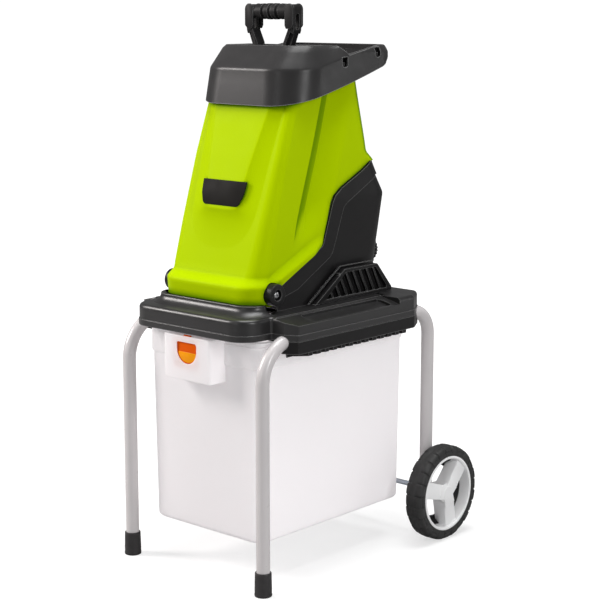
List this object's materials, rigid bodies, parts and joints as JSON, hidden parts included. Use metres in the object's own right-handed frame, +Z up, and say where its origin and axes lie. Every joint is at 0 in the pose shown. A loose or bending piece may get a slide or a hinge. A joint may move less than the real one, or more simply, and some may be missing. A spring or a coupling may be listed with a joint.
{
  "type": "wood chipper",
  "caption": "Electric garden chipper: tilting feed hopper with a pusher on a motor base, tube stand with two wheels, and a sliding collection box with a latch.",
  "frame": {"origin": "on the floor, under the middle of the machine's outline", "axes": "+Z up; -Y is the front, with the box's handle and the hopper's blank label; +X is the machine's left-hand side seen from behind it"},
  "size_m": [0.4628, 0.5898, 1.049],
  "materials": {
    "black_plastic": "fine-grained satin black moulding",
    "foot_plastic": "soft matt dark grey cap",
    "green_plastic": "satin lime green moulding",
    "milky_plastic": "milky translucent moulding",
    "latch_orange": "satin orange moulding",
    "rim_plastic": "light grey moulding",
    "tyre": "matt black rubber",
    "buffer_rubber": "matt black rubber",
    "label_black": "blank gloss black plate",
    "button_green": "satin green",
    "button_red": "satin red",
    "grey_paint": "warm light grey powder coat",
    "zinc_steel": "blue zinc plating",
    "plain_steel": "ground steel",
    "core_steel": "dark laminated core",
    "cast_aluminium": "as cast",
    "copper": "copper winding",
    "brass": "plain brass"
  },
  "bodies": {
    "root": {"base_cover": "black_plastic", "base_tray": "black_plastic", "motor_housing": "black_plastic", "motor_bulkhead": "black_plastic", "louvre_right": "black_plastic", "louvre_left": "black_plastic", "front_leg_right": "grey_paint", "front_leg_left": "grey_paint", "rear_leg_right": "grey_paint", "rear_leg_left": "grey_paint", "front_foot_right": "foot_plastic", "front_foot_left": "foot_plastic", "axle": "zinc_steel", "axle_clip_right": "plain_steel", "axle_clip_left": "plain_steel", "axle_spacer_right": "black_plastic", "axle_spacer_left": "black_plastic", "pivot_screw_right": "plain_steel", "pivot_screw_left": "plain_steel", "front_shield": "cast_aluminium", "rear_shield": "cast_aluminium", "front_bearing": "plain_steel", "rear_bearing": "plain_steel", "stator": "core_steel", "brush_holder_right": "brass", "brush_holder_left": "brass", "switch_box": "black_plastic", "power_inlet": "black_plastic", "interlock_switch": "black_plastic"},
    "wheel_right": {"wheel_rim_right": "rim_plastic", "tyre_right": "tyre", "hub_cap_right": "rim_plastic"},
    "wheel_left": {"wheel_rim_left": "rim_plastic", "tyre_left": "tyre", "hub_cap_left": "rim_plastic"},
    "hopper": {"hopper_shell": "green_plastic", "hopper_hood": "black_plastic", "feed_chute": "black_plastic", "label_plate": "label_black", "anvil_plate": "plain_steel", "lock_tongue": "plain_steel"},
    "pusher": {"pusher": "black_plastic"},
    "rotor": {"motor_shaft": "plain_steel", "knife_disc": "plain_steel", "armature": "copper", "commutator": "copper", "cooling_fan": "black_plastic", "disc_bolt": "zinc_steel", "knife_upper": "plain_steel", "knife_lower": "plain_steel"},
    "knob": {"lock_knob": "black_plastic", "lock_stud": "zinc_steel"},
    "on_button": {"on_button": "button_green"},
    "off_button": {"off_button": "button_red"},
    "reset_button": {"reset_button": "button_red"},
    "box": {"box_shell": "milky_plastic", "latch_guide": "milky_plastic", "box_buffer_right": "buffer_rubber", "box_buffer_left": "buffer_rubber"},
    "latch": {"box_latch": "latch_orange"}
  },
  "joints": [
    {"name": "wheel_right_spin", "type": "hinge", "parent": "root", "child": "wheel_right", "pos_m": [0.2114, 0.2008, 0.0942], "axis": [1, 0, 0], "continuous": true},
    {"name": "wheel_left_spin", "type": "hinge", "parent": "root", "child": "wheel_left", "pos_m": [-0.2114, 0.2008, 0.0942], "axis": [1, 0, 0], "continuous": true},
    {"name": "hopper_tilt", "type": "hinge", "parent": "root", "child": "hopper", "pos_m": [0, -0.1948, 0.534], "axis": [1, 0, 0], "range_deg": [0, 60]},
    {"name": "pusher_lift", "type": "slide", "parent": "hopper", "child": "pusher", "axis": [0, 0, 1], "range_m": [0, 0.15]},
    {"name": "rotor_spin", "type": "hinge", "parent": "root", "child": "rotor", "pos_m": [0, -0.0798, 0.615], "axis": [0, 0.9511, -0.309], "continuous": true},
    {"name": "knob_turn", "type": "hinge", "parent": "root", "child": "knob", "pos_m": [0, 0.1952, 0.56], "axis": [0, 1, 0], "range_deg": [0, 720]},
    {"name": "on_press", "type": "slide", "parent": "root", "child": "on_button", "axis": [0, -1, 0], "range_m": [0, 0.003], "stiffness_N_per_m": 400},
    {"name": "off_press", "type": "slide", "parent": "root", "child": "off_button", "axis": [0, -1, 0], "range_m": [0, 0.003], "stiffness_N_per_m": 400},
    {"name": "reset_press", "type": "slide", "parent": "root", "child": "reset_button", "axis": [-1, 0, 0], "range_m": [0, 0.002], "stiffness_N_per_m": 400},
    {"name": "box_slide", "type": "slide", "parent": "root", "child": "box", "axis": [0, -1, 0], "range_m": [0, 0.42]},
    {"name": "latch_slide", "type": "slide", "parent": "box", "child": "latch", "axis": [0, 0, -1], "range_m": [0, 0.01]}
  ]
}
